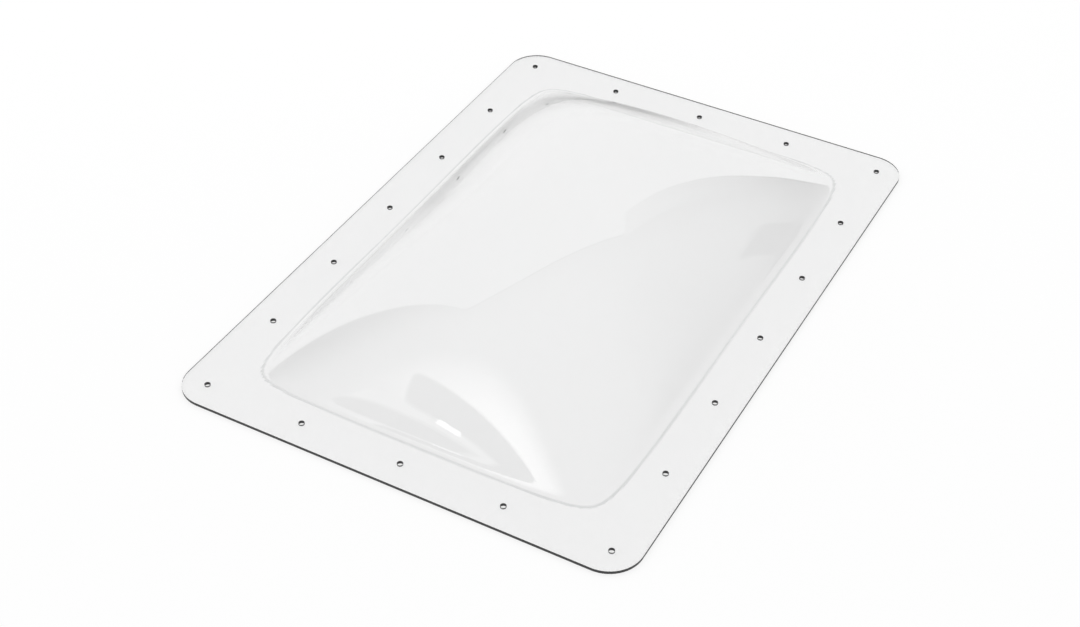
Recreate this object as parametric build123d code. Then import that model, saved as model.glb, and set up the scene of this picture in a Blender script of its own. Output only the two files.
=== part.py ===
from build123d import *
import os
from math import atan, tan

# Roof skylight dome: one clear sheet, blown up into a low pillow and left flat round its rim.
# Millimetres. The origin is the middle of the flange's underside, +Z points up out of the roof
# and the long side runs along Y.

# The roof opening, and how far outside it the dome's foot stands
opening_width = 355.6
opening_length = 558.8
opening_margin = 2.4

# The sheet: as supplied in the flange, drawn thinner at the crown, its sawn edges scraped
sheet_thickness = 3.2
crown_thickness = 2.5
edge_chamfer = 0.4

# The flange, which reaches out over the roof all round, and its ring of screw holes
flange_reach = 50.8
flange_corner_radius = 31.75
hole_diameter = 5.6
hole_to_edge = 25.4
holes_across = 5
holes_along = 7

# The blown dome, standing on the flange's top face
dome_rise = 104.0
foot_radius = 12.0
corner_softening = 3.0
long_side_fullness = -0.05
short_side_fullness = 0.41
corner_fullness = 1.35

# How far surfaces and cutting solids run on past what trims them
run_on = 4.0

flange_width = opening_width + 2 * flange_reach
flange_length = opening_length + 2 * flange_reach
half_width = opening_width / 2 + opening_margin
half_length = opening_length / 2 + opening_margin


def side_poles(reach):
    # Bezier poles of the arch 1 - u^2 and of the shoulder u^2 - u^4, for u from -reach to reach
    square = [reach**2 * share for share in (1, 0, -1 / 3, 0, 1)]
    fourth = [reach**4 * share for share in (1, -1, 1, -1, 1)]
    arch = [1 - s for s in square]
    shoulder = [s - f for s, f in zip(square, fourth)]
    return arch, shoulder


def pillow_surface(foot_x, foot_y, rise, foot_z):
    # The height over the foot is peak (1 - u^2)(1 - v^2)(1 + a u^2 + b v^2 + c u^2 v^2), less the
    # softening, where u and v are 1 at the foot, a and b fill out the shoulders and c the corners.
    # One patch holds it exactly.
    peak = rise + corner_softening
    reach_x = 1 + run_on / foot_x
    reach_y = 1 + run_on / foot_y
    arch_x, shoulder_x = side_poles(reach_x)
    arch_y, shoulder_y = side_poles(reach_y)
    last = len(arch_x) - 1
    poles = []
    for i in range(last + 1):
        x = foot_x * reach_x * (2 * i / last - 1)
        row = []
        for j in range(last + 1):
            y = foot_y * reach_y * (2 * j / last - 1)
            form = arch_x[i] * arch_y[j]
            form += long_side_fullness * shoulder_x[i] * arch_y[j]
            form += short_side_fullness * arch_x[i] * shoulder_y[j]
            form += corner_fullness * shoulder_x[i] * shoulder_y[j]
            row.append(Vector(x, y, foot_z + peak * form - corner_softening))
        poles.append(row)
    return Face.make_bezier_surface(poles)


def pillow(foot_x, foot_y, rise, foot_z, depth):
    # The solid under the pillow surface, cut flat at a depth below its foot
    surface = pillow_surface(foot_x, foot_y, rise, foot_z)
    column = Solid.extrude(surface, Vector(0, 0, -(rise + depth + run_on)))
    return split(column, Plane.XY.offset(foot_z - depth), keep=Keep.TOP)


def bend_foot(form, radius):
    # Rounds the crease between a flat top face and the dome that stands on it
    flat_top = form.faces().filter_by(Axis.Z).sort_by(Axis.Z)[-1]
    return form.fillet(radius, flat_top.inner_wires()[0].edges())


def foot_shift(foot_size, fullness):
    # The inner foot lies this far inside the outer one, so the wall keeps its thickness in the bend
    slope = 2 * (dome_rise + corner_softening) * (1 + fullness) / foot_size
    return sheet_thickness * tan(atan(slope) / 2)


def sheet_top():
    # The flange with the dome on it, solid underneath
    outline = RectangleRounded(flange_width, flange_length, flange_corner_radius)
    plate = extrude(outline, sheet_thickness)
    plate = chamfer(plate.edges().filter_by(Axis.Z, reverse=True), edge_chamfer)
    dome = pillow(half_width, half_length, dome_rise, sheet_thickness, sheet_thickness / 2)
    return bend_foot(plate + dome, foot_radius)


def hollow():
    # The space under the dome, on a slab of the space under the flange
    slab = extrude(Rectangle(flange_width, flange_length), -2 * run_on)
    dome = pillow(
        half_width - foot_shift(half_width, long_side_fullness),
        half_length - foot_shift(half_length, short_side_fullness),
        dome_rise + sheet_thickness - crown_thickness,
        0,
        run_on,
    )
    return bend_foot(slab + dome, foot_radius + sheet_thickness)


def hole_centres():
    # A ring of holes, evenly spaced along each side, with one in every corner
    x_end = flange_width / 2 - hole_to_edge
    y_end = flange_length / 2 - hole_to_edge
    centres = []
    for i in range(holes_across):
        x = x_end * (2 * i / (holes_across - 1) - 1)
        centres += [(x, -y_end), (x, y_end)]
    for j in range(1, holes_along - 1):
        y = y_end * (2 * j / (holes_along - 1) - 1)
        centres += [(-x_end, y), (x_end, y)]
    return centres


def quarter(form):
    form = split(form, Plane.YZ, keep=Keep.TOP)
    return split(form, Plane.XZ, keep=Keep.TOP)


def all_quarters(form):
    # The dome's surface is in four equal patches, which meet over the middle lines
    form += mirror(form, about=Plane.YZ)
    return form + mirror(form, about=Plane.XZ)


def skylight_shell():
    shell = all_quarters(quarter(sheet_top() - hollow()))
    drill = Cylinder(hole_diameter / 2, 2 * (sheet_thickness + run_on))
    return shell - [Pos(x, y, 0) * drill for x, y in hole_centres()]


os.makedirs("parts", exist_ok=True)
export_step(skylight_shell(), "parts/skylight_shell.step")
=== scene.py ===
import bpy
from math import cos, hypot, pi, radians, sin
from mathutils import Matrix, Vector


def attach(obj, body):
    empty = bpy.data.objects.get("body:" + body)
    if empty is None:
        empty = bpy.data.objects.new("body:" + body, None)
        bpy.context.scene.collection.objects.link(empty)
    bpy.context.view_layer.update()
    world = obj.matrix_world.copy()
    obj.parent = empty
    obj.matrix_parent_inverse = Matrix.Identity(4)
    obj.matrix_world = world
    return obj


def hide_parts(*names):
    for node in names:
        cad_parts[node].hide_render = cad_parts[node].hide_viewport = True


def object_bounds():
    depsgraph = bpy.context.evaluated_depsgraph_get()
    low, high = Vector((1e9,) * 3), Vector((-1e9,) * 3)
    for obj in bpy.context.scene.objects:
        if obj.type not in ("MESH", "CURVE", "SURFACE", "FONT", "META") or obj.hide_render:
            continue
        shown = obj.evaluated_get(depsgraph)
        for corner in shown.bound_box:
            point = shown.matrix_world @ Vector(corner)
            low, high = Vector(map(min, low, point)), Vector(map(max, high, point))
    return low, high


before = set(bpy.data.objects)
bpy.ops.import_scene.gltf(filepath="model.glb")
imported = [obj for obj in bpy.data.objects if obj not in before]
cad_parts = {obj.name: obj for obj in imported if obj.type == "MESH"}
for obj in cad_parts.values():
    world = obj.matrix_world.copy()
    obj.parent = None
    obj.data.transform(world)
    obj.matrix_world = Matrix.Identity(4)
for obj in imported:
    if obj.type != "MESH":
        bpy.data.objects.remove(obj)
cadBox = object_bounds()
print("frame loaded")


# Helpers for objects

def deselectAll():
    if bpy.context.mode != "OBJECT":
        bpy.ops.object.mode_set(mode="OBJECT")
    bpy.ops.object.select_all(action="DESELECT")


def pick(obj):
    deselectAll()
    obj.select_set(True)
    bpy.context.view_layer.objects.active = obj


def applyModifier(obj, name):
    pick(obj)
    bpy.ops.object.modifier_apply(modifier=name)


def applyPlace(obj):
    pick(obj)
    bpy.ops.object.transform_apply(location=True, rotation=True, scale=True)


def facing(turn, lean):
    # the way out to a turn and lean in degrees, and right and up on a card that looks back from it
    turn = radians(turn)
    lean = radians(lean)
    outward = Vector((sin(turn) * cos(lean), cos(turn) * cos(lean), sin(lean)))
    right = Vector((cos(turn), -sin(turn), 0))
    return outward, right, right.cross(outward)


# Helpers for nodes. The owner is a material or the world, and spot is where a node is drawn.

def newMaterial(name):
    material = bpy.data.materials.new(name)
    material.use_nodes = True
    material.node_tree.nodes.clear()
    return material


def addNode(owner, kind, spot, **values):
    node = owner.node_tree.nodes.new(kind)
    node.location = spot
    for key, value in values.items():
        setattr(node, key, value)
    return node


def feed(owner, socket, value):
    # links the socket to another node's output, or sets it
    if isinstance(value, bpy.types.NodeSocket):
        owner.node_tree.links.new(value, socket)
    else:
        socket.default_value = value


def addMath(owner, operation, spot, *values):
    node = addNode(owner, "ShaderNodeMath", spot, operation=operation)
    for socket, value in zip(node.inputs, values):
        feed(owner, socket, value)
    return node.outputs[0]


def addFade(owner, value, between, levels, spot, kind="LINEAR"):
    # goes from the first level to the second while the value crosses what it is between
    node = addNode(owner, "ShaderNodeMapRange", spot, interpolation_type=kind)
    for name, number in zip(("From Min", "From Max", "To Min", "To Max"), (*between, *levels)):
        node.inputs[name].default_value = number
    feed(owner, node.inputs["Value"], value)
    return node.outputs["Result"]


def addNoise(owner, place, scale, detail, spot):
    node = addNode(owner, "ShaderNodeTexNoise", spot)
    node.inputs["Scale"].default_value = scale
    node.inputs["Detail"].default_value = detail
    feed(owner, node.inputs["Vector"], place)
    return node.outputs["Fac"]


def mixShaders(owner, factor, first, second, spot):
    # the first shader where the factor is 0, and the second where it is 1
    node = addNode(owner, "ShaderNodeMixShader", spot)
    for socket, value in zip(node.inputs, (factor, first.outputs[0], second.outputs[0])):
        feed(owner, socket, value)
    return node


def showSurface(owner, shader, spot, kind="ShaderNodeOutputMaterial"):
    out = addNode(owner, kind, spot)
    feed(owner, out.inputs["Surface"], shader.outputs[0])


def objectPlace(owner, spot):
    return addNode(owner, "ShaderNodeTexCoord", spot).outputs["Object"]


def wayOut(owner, spot):
    # each point's direction from the object's middle
    way = addNode(owner, "ShaderNodeVectorMath", spot, operation="NORMALIZE")
    feed(owner, way.inputs[0], objectPlace(owner, (spot[0] - 200, spot[1])))
    return way.outputs[0]


def fadeTowards(owner, way, side, between, levels, spot, kind="LINEAR"):
    # a fade with the cosine of the angle between that direction and a turn and lean
    turned = addNode(owner, "ShaderNodeVectorMath", spot, operation="DOT_PRODUCT")
    turned.inputs[1].default_value = facing(*side)[0]
    feed(owner, turned.inputs[0], way)
    return addFade(owner, turned.outputs["Value"], between, levels, (spot[0] + 200, spot[1]), kind)


def mirroredOnce(owner, spot):
    # 1 for light that the sheet has mirrored, inside or outside, and 0 for what came straight
    path = addNode(owner, "ShaderNodeLightPath", spot)
    return addMath(
        owner, "GREATER_THAN", (spot[0] + 200, spot[1]), path.outputs["Glossy Depth"], 0.5
    )


# Camera, where the photograph was taken from

view = {
    "place": (0.6171, -1.2159, 1.0955),
    "aim": (0.0087, -0.0712, 0.0032),
    "roll": 1.09,        # degrees
    "lens": 60.03,       # millimetres, as the sensor
    "sensor": 36.0,
    "farthest": 50.0,
}


def addCamera():
    place = Vector(view["place"])
    forward = (Vector(view["aim"]) - place).normalized()
    level = forward.to_track_quat("-Z", "Y").to_matrix()
    roll = Matrix.Rotation(radians(view["roll"]), 3, "Z")
    deselectAll()
    bpy.ops.object.camera_add(location=place)
    camera = bpy.context.object
    camera.rotation_euler = (level @ roll).to_euler()
    camera.data.lens = view["lens"]
    camera.data.sensor_width = view["sensor"]
    camera.data.clip_end = view["farthest"]
    bpy.context.scene.camera = camera


addCamera()
print("camera placed")


# The clear sheet: blown dome, flange, sawn edge and drilled holes

shell = {
    "sheet": 0.0032,
    "crown": 0.0025,           # the wall's thickness at the top
    "openingWidth": 0.3556,
    "openingLength": 0.5588,
    "openingMargin": 0.0024,   # how far outside the roof opening the dome's foot stands
    "rise": 0.104,
    "footRadius": 0.012,
    "softening": 0.003,
    "longSideFullness": -0.05,
    "shortSideFullness": 0.41,
    "cornerFullness": 1.35,
    "cornerRadius": 0.03175,
    "cornerCuts": 14,
    "scrape": 0.0004,
    "scrapeSteps": 2,
    "sharpEdge": 60,           # degrees, from which an edge is scraped
    "holeRadius": 0.0028,
    "holeSides": 36,
    "drillLength": 0.0256,
    "holeToEdge": 0.0254,
    "holesAcross": 5,
    "holesAlong": 7,
    "columns": 168,
    "rows": 224,
    "footCrowding": 0.78,      # how far the grid's lines gather at the dome's foot
    "smoothBelow": 30,         # degrees, up to which a bend is shaded smooth
    "slack": 0.00002,          # keeps the sheet just inside the CAD model
}

halfFlange = (cadBox[1][0] - shell["slack"], cadBox[1][1] - shell["slack"])
halfFoot = (
    shell["openingWidth"] / 2 + shell["openingMargin"],
    shell["openingLength"] / 2 + shell["openingMargin"],
)


def pillowRise(x, y):
    # height over the flange's top and the slope there, before the foot is rounded
    u = x / halfFoot[0]
    v = y / halfFoot[1]
    a = shell["longSideFullness"]
    b = shell["shortSideFullness"]
    c = shell["cornerFullness"]
    peak = shell["rise"] + shell["softening"]
    archU = 1 - u * u
    archV = 1 - v * v
    full = 1 + a * u * u + b * v * v + c * u * u * v * v
    height = peak * archU * archV * full - shell["softening"]
    slopeX = peak * archV * 2 * u * ((a + c * v * v) * archU - full) / halfFoot[0]
    slopeY = peak * archU * 2 * v * ((b + c * u * u) * archV - full) / halfFoot[1]
    return height, hypot(slopeX, slopeY)


def sheetRise(x, y):
    # the same with the foot bent on its radius, and flat outside it
    if abs(x) >= halfFoot[0] and abs(y) >= halfFoot[1]:
        return 0.0
    height, slope = pillowRise(x, y)
    # the bend takes over within this height of the flange's top
    reach = shell["footRadius"] * slope ** 2 / (2 * (1 + slope ** 2 / 4) ** 1.5)
    if height >= reach:
        return height
    if height <= -reach:
        return 0.0
    return (height + reach) ** 2 / (4 * reach)


def crowd(share, foot):
    # moves a grid line from its even place towards the foot, share and foot from 0 to 1
    k = shell["footCrowding"] / (2 * pi)
    def raw(s):
        return s - k * sin(2 * pi * (s - foot))
    return (raw(share) - raw(0)) / (raw(1) - raw(0))


def bendSheet(obj):
    # gathers the flat grid's lines at the foot, and lifts its points to the dome's upper face
    for v in obj.data.vertices:
        x = abs(v.co.x) / halfFlange[0]
        y = abs(v.co.y) / halfFlange[1]
        x = crowd(x, halfFoot[0] / halfFlange[0]) * halfFlange[0]
        y = crowd(y, halfFoot[1] / halfFlange[1]) * halfFlange[1]
        v.co.x = x if v.co.x >= 0 else -x
        v.co.y = y if v.co.y >= 0 else -y
        v.co.z = shell["sheet"] + sheetRise(v.co.x, v.co.y)


def roundCorners(obj):
    # trims each corner along tangents of its corner circle
    pick(obj)
    bpy.ops.object.mode_set(mode="EDIT")
    bpy.ops.mesh.select_mode(type="VERT")
    radius = shell["cornerRadius"]
    cuts = shell["cornerCuts"]
    reach = radius * cos(radians(45) / cuts)
    for sx in (-1, 1):
        for sy in (-1, 1):
            centre = Vector((sx * (halfFlange[0] - radius), sy * (halfFlange[1] - radius), 0))
            for i in range(cuts):
                angle = radians(90) * (i + 0.5) / cuts
                out = Vector((sx * cos(angle), sy * sin(angle), 0))
                bpy.ops.mesh.select_all(action="SELECT")
                bpy.ops.mesh.bisect(plane_co=centre + out * reach, plane_no=out, clear_outer=True)
    bpy.ops.object.mode_set(mode="OBJECT")


def thickenSheet(obj):
    # the wall grows downwards, and vertex weights draw it thinner as the sheet rises
    group = obj.vertex_groups.new(name="thickness")
    for v in obj.data.vertices:
        rise = max(0.0, v.co.z - shell["sheet"]) / shell["rise"]
        thickness = shell["sheet"] + (shell["crown"] - shell["sheet"]) * rise
        group.add([v.index], thickness / shell["sheet"], "REPLACE")
    wall = obj.modifiers.new("wall", "SOLIDIFY")
    wall.thickness = shell["sheet"] - shell["slack"]
    wall.offset = -1
    wall.use_even_offset = True
    wall.vertex_group = group.name
    applyModifier(obj, "wall")
    obj.vertex_groups.clear()


def scrapeEdges(obj):
    scrape = obj.modifiers.new("scrape", "BEVEL")
    scrape.width = shell["scrape"]
    scrape.segments = shell["scrapeSteps"]
    scrape.limit_method = "ANGLE"
    scrape.angle_limit = radians(shell["sharpEdge"])
    applyModifier(obj, "scrape")


def holePlaces():
    # an even ring, with a hole in every corner
    xEnd = halfFlange[0] - shell["holeToEdge"]
    yEnd = halfFlange[1] - shell["holeToEdge"]
    across = shell["holesAcross"]
    along = shell["holesAlong"]
    places = []
    for i in range(across):
        x = xEnd * (2 * i / (across - 1) - 1)
        places += [(x, -yEnd), (x, yEnd)]
    for j in range(1, along - 1):
        y = yEnd * (2 * j / (along - 1) - 1)
        places += [(-xEnd, y), (xEnd, y)]
    return places


def addDrills():
    # one long drill for every hole, joined into one cutter
    drills = []
    for x, y in holePlaces():
        deselectAll()
        bpy.ops.mesh.primitive_cylinder_add(
            vertices=shell["holeSides"], radius=shell["holeRadius"],
            depth=shell["drillLength"], location=(x, y, 0),
        )
        drills.append(bpy.context.object)
    deselectAll()
    for drill in drills:
        drill.select_set(True)
    bpy.context.view_layer.objects.active = drills[0]
    bpy.ops.object.join()
    return bpy.context.object


def drillHoles(obj):
    cutter = addDrills()
    drill = obj.modifiers.new("drill", "BOOLEAN")
    drill.operation = "DIFFERENCE"
    drill.solver = "EXACT"
    drill.object = cutter
    applyModifier(obj, "drill")
    bpy.data.objects.remove(cutter)


def makeShell():
    deselectAll()
    bpy.ops.mesh.primitive_grid_add(
        x_subdivisions=shell["columns"], y_subdivisions=shell["rows"], size=2, location=(0, 0, 0)
    )
    obj = bpy.context.object
    obj.name = "clearShell"
    obj.scale = (halfFlange[0], halfFlange[1], 1)
    applyPlace(obj)
    bendSheet(obj)
    roundCorners(obj)
    thickenSheet(obj)
    scrapeEdges(obj)
    drillHoles(obj)
    pick(obj)
    bpy.ops.object.shade_smooth_by_angle(angle=radians(shell["smoothBelow"]))
    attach(obj, "root")
    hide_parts("skylight_shell")
    return obj


clearShell = makeShell()
print("shell formed:", len(clearShell.data.polygons), "faces")


# Clear polycarbonate

clear = {
    "tint": (0.966, 0.967, 0.967, 1),
    "ior": 1.585,
    "lampTint": (0.94, 0.94, 0.94, 1),   # what one face lets through of the lamps' light
    "waveScale": 9.0,
    "waveDetail": 2,
    "waveHeight": 0.00012,
    "hazeScale": 35.0,
    "hazeDetail": 6,
    "hazeBetween": (0.35, 0.75),         # the noise values that the roughness runs between
    "roughness": (0.004, 0.03),
    # painted shade: the darker tint of the band where the sheet turns up at its foot
    "paintedFootShade": (0.64, 0.645, 0.65, 1),
    "paintedShadeStart": (0.00322, 0.0033),      # heights between which the painted foot shade sets in
    "footEnd": (0.0039, 0.00345),        # and dies out, from the top down
}


def tintWithPaintedFootShade(m, place):
    # painted shade: a darker band of tint where the sheet turns up at its foot, on the faces seen
    # from outside
    height = addNode(m, "ShaderNodeSeparateXYZ", (-600, 500))
    feed(m, height.inputs[0], place)
    start = addFade(m, height.outputs["Z"], clear["paintedShadeStart"], (0, 1), (-400, 600))
    end = addFade(m, height.outputs["Z"], clear["footEnd"], (0, 1), (-400, 350))
    paintedShadeBand = addMath(m, "MULTIPLY", (-200, 500), start, end)
    side = addNode(m, "ShaderNodeNewGeometry", (-400, 850))
    outside = addMath(m, "SUBTRACT", (-200, 700), 1, side.outputs["Backfacing"])
    tint = addNode(m, "ShaderNodeMix", (0, 500), data_type="RGBA")
    feed(m, tint.inputs["Factor"], addMath(m, "MULTIPLY", (-50, 600), paintedShadeBand, outside))
    tint.inputs["A"].default_value = clear["tint"]
    tint.inputs["B"].default_value = clear["paintedFootShade"]
    return tint.outputs["Result"]


def clearMaterial():
    m = newMaterial("clearPolycarbonate")
    place = objectPlace(m, (-900, 0))
    wave = addNoise(m, place, clear["waveScale"], clear["waveDetail"], (-600, -300))
    bump = addNode(m, "ShaderNodeBump", (-200, -300))
    bump.inputs["Distance"].default_value = clear["waveHeight"]
    feed(m, bump.inputs["Height"], wave)
    haze = addNoise(m, place, clear["hazeScale"], clear["hazeDetail"], (-600, 100))
    rough = addFade(m, haze, clear["hazeBetween"], clear["roughness"], (-200, 100))

    glass = addNode(m, "ShaderNodeBsdfPrincipled", (300, 0))
    glass.inputs["IOR"].default_value = clear["ior"]
    glass.inputs["Transmission Weight"].default_value = 1
    feed(m, glass.inputs["Base Color"], tintWithPaintedFootShade(m, place))
    feed(m, glass.inputs["Roughness"], rough)
    feed(m, glass.inputs["Normal"], bump.outputs["Normal"])

    # light on its way to a lamp goes straight through, so the sheet casts next to no shadow
    lampLight = addNode(m, "ShaderNodeBsdfTransparent", (300, -500))
    lampLight.inputs["Color"].default_value = clear["lampTint"]
    path = addNode(m, "ShaderNodeLightPath", (300, 300))
    mix = mixShaders(m, path.outputs["Is Shadow Ray"], glass, lampLight, (650, 0))
    showSurface(m, mix, (900, 0))
    return m


# Sawn and drilled faces: the flange's rim and the walls of its holes, painted near black as shade

sawn = {
    # painted shade: the clear sawn faces are drawn near black
    "paintedShadeColour": (0.012, 0.012, 0.013, 1),
    "marksScale": 900.0,
    "marksDetail": 2,
    "roughness": (0.25, 0.6),
    "passes": 0.95,                # share that they let out of the light inside the sheet
    "darkSide": (-42, 0),          # painted shade: they let none out round this turn and lean, so the rim is darker on that side
    "darkBetween": (0.69, 0.866),  # cosines of the angle to it between which that sets in
    "steepest": 0.5,               # a cut face's normal rises less than this
    "highest": 0.00336,            # and its middle is lower than this
    "footToCut": 0.01,             # and further out from the dome's foot than this
}


def sawnPaintedDarkMaterial():
    # painted shade: near black from outside, and open to the light that runs inside the sheet
    m = newMaterial("sawnEdgePaintedDark")
    marks = addNoise(
        m, objectPlace(m, (-900, 0)), sawn["marksScale"], sawn["marksDetail"], (-600, 0)
    )
    face = addNode(m, "ShaderNodeBsdfPrincipled", (300, 0))
    face.inputs["Base Color"].default_value = sawn["paintedShadeColour"]
    face.inputs["IOR"].default_value = clear["ior"]
    feed(m, face.inputs["Roughness"], addFade(m, marks, (0, 1), sawn["roughness"], (-200, 0)))
    letOut = addNode(m, "ShaderNodeBsdfTransparent", (300, -400))
    # painted shade: the light let out of the sheet fades to none towards one side
    share = fadeTowards(
        m, wayOut(m, (-700, -400)), sawn["darkSide"], sawn["darkBetween"], (sawn["passes"], 0),
        (-400, -400),
    )
    feed(m, letOut.inputs["Color"], share)
    mix = mixShaders(m, mirroredOnce(m, (0, 400)), face, letOut, (450, 0))
    showSurface(m, mix, (650, 0))
    return m


def paintCutFaces(obj, index):
    # gives the upright faces of the flange's rim and its holes the sawn edge's slot, painted near
    # black as shade
    for face in obj.data.polygons:
        x, y, z = face.center
        upright = abs(face.normal.z) < sawn["steepest"] and z < sawn["highest"]
        outX = abs(x) - halfFoot[0]
        outY = abs(y) - halfFoot[1]
        if upright and max(outX, outY) > sawn["footToCut"]:
            face.material_index = index


clearSheet = clearMaterial()
clearShell.data.materials.clear()
clearShell.data.materials.append(clearSheet)
clearShell.data.materials.append(sawnPaintedDarkMaterial())
paintCutFaces(clearShell, 1)
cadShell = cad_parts["skylight_shell"]
cadShell.data.materials.clear()
cadShell.data.materials.append(clearSheet)
print("materials set")


# White table and studio. A turn and lean are in degrees from the object's middle: round from +Y
# towards +X, and up.

studio = {
    "tableSize": 14.0,
    "tableDrop": 0.0004,
    "tableColour": (0.96, 0.96, 0.96, 1),
    "tableGlow": 0.75,               # how far the table's white shows past its shading
    "tableMirrored": 0.9,            # its brightness where the sheet mirrors it
    "skyLight": 0.95,
    "white": (1, 1, 1, 1),
    "roomSize": (9.0, 9.0, 5.0),
    "roomSunk": 0.1,                 # how far the room's floor lies below the table
    "roomLight": 0.64,               # brightness of its walls and ceiling
    "darkSide": (-50, -37),          # they darken towards this turn and lean
    "darkBetween": (-0.445, 0.2),    # cosines of the angle to it between which they do
    "skirting": (-0.04, 0.32),       # and towards the floor, between these sines of the lean
    "glowSide": (-159, 53),          # a window's glow lies round this turn and lean
    "glowBetween": (0.939, 1),
    "glowFocus": 2,
    "glowLight": 1.25,
    "cornerSteps": 6,                # of a card's rounded corners
    "bounces": {"max": 128, "glossy": 96, "transmission": 96},   # light runs far in the sheet
}

lamps = {
    "softLamp": {"place": (-0.9, 1.1, 1.6), "turn": (-40, 48), "size": (2.2, 1.6), "light": 0.5},
}

# Cards round the table, which show only as reflections in the sheet. Each looks back at the
# object from its turn and lean and its distance, and is shifted right and up on its own face.
# The slant moves its upper right corner out. The glow is given at its foot and at its top.

cards = {
    "panel": {
        "turn": (-50, 14), "away": 0.82, "shift": (0.47, 0.607),
        "size": (2.18, 1.61), "corner": 0.02, "slant": 0, "glow": (0.95, 0.82),
    },
    "panelRim": {
        "turn": (-50, 14), "away": 0.83, "shift": (0.476, 0.63),
        "size": (2.23, 1.64), "corner": 0.02, "slant": 0, "glow": (0.3, 0.3),
    },
    "upperFlag": {
        "turn": (-150, 50), "away": 1.5, "shift": (-0.517, -0.199),
        "size": (0.985, 0.256), "corner": 0.04, "slant": 0.16, "glow": (0.3, 0.3),
    },
    "lowerFlag": {
        "turn": (-150, 50), "away": 1.5, "shift": (-0.37, -0.66),
        "size": (1.0, 0.52), "corner": 0.05, "slant": 0, "glow": (0.28, 0.28),
    },
    "gapStreak": {
        "turn": (-150, 50), "away": 1.49, "shift": (-0.145, -0.335),
        "size": (0.06, 0.02), "corner": 0.004, "slant": 0, "glow": (5, 5),
    },
    "gapGlow": {
        "turn": (-150, 50), "away": 1.53, "shift": (-0.43, -0.36),
        "size": (1.1, 0.09), "corner": 0.01, "slant": 0, "glow": (0.95, 0.95),
    },
    "panelEnd": {
        "turn": (21.2, 0), "away": 1.27, "shift": (0, 0.61),
        "size": (0.22, 1.22), "corner": 0.02, "slant": 0, "glow": (0, 0.62),
    },
    "farStand": {
        "turn": (39.5, 10), "away": 3.0, "shift": (0, 0.18),
        "size": (0.24, 0.38), "corner": 0.05, "slant": 0, "glow": (0, 0),
    },
}


def seenByCamera(owner, spot):
    # 1 for what the camera sees, straight, mirrored or through the clear sheet
    path = addNode(owner, "ShaderNodeLightPath", spot)
    last = path.outputs["Is Camera Ray"]
    for step, kind in enumerate(("Is Glossy Ray", "Is Transmission Ray")):
        beside = (spot[0] + 180 * (step + 1), spot[1])
        last = addMath(owner, "MAXIMUM", beside, last, path.outputs[kind])
    return last


def addGlow(m, strength, spot):
    # white where it shows straight through the sheet, and of its own strength where mirrored
    x, y = spot
    own = addNode(m, "ShaderNodeMix", (x - 200, y))
    feed(m, own.inputs["Factor"], mirroredOnce(m, (x - 600, y)))
    own.inputs["A"].default_value = 1
    feed(m, own.inputs["B"], strength)
    glow = addNode(m, "ShaderNodeEmission", spot)
    feed(m, glow.inputs["Strength"], own.outputs["Result"])
    return glow


def tableMaterial():
    m = newMaterial("whiteTable")
    paint = addNode(m, "ShaderNodeBsdfDiffuse", (300, 0))
    paint.inputs["Color"].default_value = studio["tableColour"]
    glow = addGlow(m, studio["tableMirrored"], (300, -200))
    share = addMath(m, "MULTIPLY", (300, 300), seenByCamera(m, (-400, 300)), studio["tableGlow"])
    showSurface(m, mixShaders(m, share, paint, glow, (650, 0)), (900, 0))
    return m


def addTable():
    deselectAll()
    bpy.ops.mesh.primitive_plane_add(
        size=studio["tableSize"], location=(0, 0, -studio["tableDrop"])
    )
    table = bpy.context.object
    table.name = "whiteTable"
    applyPlace(table)
    table.data.materials.append(tableMaterial())


def onlyReflected(obj):
    obj.visible_camera = False
    obj.visible_diffuse = False
    obj.visible_shadow = False


def roomMaterial():
    # plain walls, darker beside the panel and near the floor, and a window behind the camera
    m = newMaterial("dimStudio")
    way = wayOut(m, (-800, 0))
    walls = fadeTowards(
        m, way, studio["darkSide"], studio["darkBetween"], (studio["roomLight"], 0),
        (-600, 200), kind="SMOOTHSTEP",
    )
    height = addNode(m, "ShaderNodeSeparateXYZ", (-600, 0))
    feed(m, height.inputs[0], way)
    skirting = addFade(
        m, height.outputs["Z"], studio["skirting"], (0, 1), (-400, 0), kind="SMOOTHSTEP"
    )
    lit = addMath(m, "MULTIPLY", (-150, 100), walls, skirting)
    window = fadeTowards(
        m, way, studio["glowSide"], studio["glowBetween"], (0, 1), (-600, -200)
    )
    soft = addMath(m, "POWER", (-200, -200), window, studio["glowFocus"])
    both = addMath(m, "MULTIPLY_ADD", (50, 0), soft, studio["glowLight"], lit)
    showSurface(m, addGlow(m, both, (700, 0)), (900, 0))
    return m


def addRoom():
    # the dim studio round the table, which only the sheet's reflections show
    deselectAll()
    size = studio["roomSize"]
    bpy.ops.mesh.primitive_cube_add(size=1, location=(0, 0, size[2] / 2 - studio["roomSunk"]))
    room = bpy.context.object
    room.name = "dimStudio"
    room.scale = size
    applyPlace(room)
    room.data.materials.append(roomMaterial())
    onlyReflected(room)


def cardMaterial(name, values):
    m = newMaterial(name)
    along = addNode(m, "ShaderNodeSeparateXYZ", (-350, 0))
    feed(m, along.inputs[0], objectPlace(m, (-600, 0)))
    top = values["size"][1] / 2
    fade = addFade(m, along.outputs["Y"], (-top, top), values["glow"], (0, 0), kind="SMOOTHSTEP")
    showSurface(m, addGlow(m, fade, (700, 0)), (900, 0))
    return m


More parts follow.
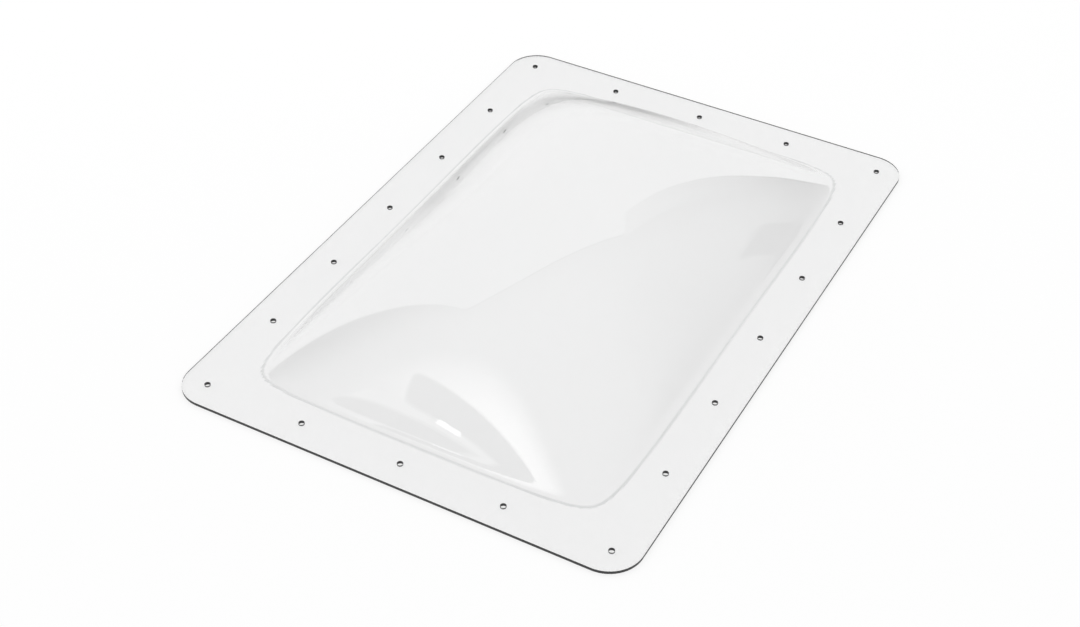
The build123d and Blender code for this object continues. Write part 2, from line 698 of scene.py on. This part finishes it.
def addCard(name, values):
    deselectAll()
    outward, right, up = facing(*values["turn"])
    place = outward * values["away"] + right * values["shift"][0] + up * values["shift"][1]
    bpy.ops.mesh.primitive_plane_add(size=1)
    card = bpy.context.object
    card.name = name
    card.scale = (*values["size"], 1)
    applyPlace(card)
    for v in card.data.vertices:
        if v.co.x > 0 and v.co.y > 0:
            v.co.x += values["slant"]
    bpy.ops.object.mode_set(mode="EDIT")
    bpy.ops.mesh.select_all(action="SELECT")
    bpy.ops.mesh.bevel(
        offset=values["corner"], segments=studio["cornerSteps"], affect="VERTICES"
    )
    bpy.ops.object.mode_set(mode="OBJECT")
    card.matrix_world = Matrix((
        (right.x, up.x, outward.x, place.x),
        (right.y, up.y, outward.y, place.y),
        (right.z, up.z, outward.z, place.z),
        (0, 0, 0, 1),
    ))
    card.data.materials.append(cardMaterial(name, values))
    onlyReflected(card)


def addLamp(name, values):
    # a soft light that the sheet doesn't mirror
    deselectAll()
    bpy.ops.object.light_add(type="AREA", location=values["place"])
    lamp = bpy.context.object
    lamp.name = name
    lamp.data.shape = "RECTANGLE"
    lamp.data.size, lamp.data.size_y = values["size"]
    lamp.data.energy = values["light"] * pi * values["size"][0] * values["size"][1]
    outward = facing(*values["turn"])[0]
    lamp.rotation_euler = outward.to_track_quat("Z", "Y").to_euler()
    lamp.visible_camera = False
    lamp.visible_glossy = False
    lamp.visible_transmission = False


def setWorld():
    # soft sky light on the object, and white for the camera
    world = bpy.data.worlds.new("studio")
    bpy.context.scene.world = world
    world.use_nodes = True
    world.node_tree.nodes.clear()
    light = addNode(world, "ShaderNodeBackground", (300, 0))
    light.inputs["Color"].default_value = studio["white"]
    light.inputs["Strength"].default_value = studio["skyLight"]
    white = addNode(world, "ShaderNodeBackground", (300, -200))
    white.inputs["Color"].default_value = studio["white"]
    mix = mixShaders(world, seenByCamera(world, (-400, 300)), light, white, (650, 0))
    showSurface(world, mix, (900, 0), kind="ShaderNodeOutputWorld")


def setRender():
    scene = bpy.context.scene
    scene.view_settings.view_transform = "Standard"
    for kind, count in studio["bounces"].items():
        setattr(scene.cycles, kind + "_bounces", count)


addTable()
addRoom()
for name, values in lamps.items():
    addLamp(name, values)
for name, values in cards.items():
    addCard(name, values)
setWorld()
setRender()
print("studio lit")
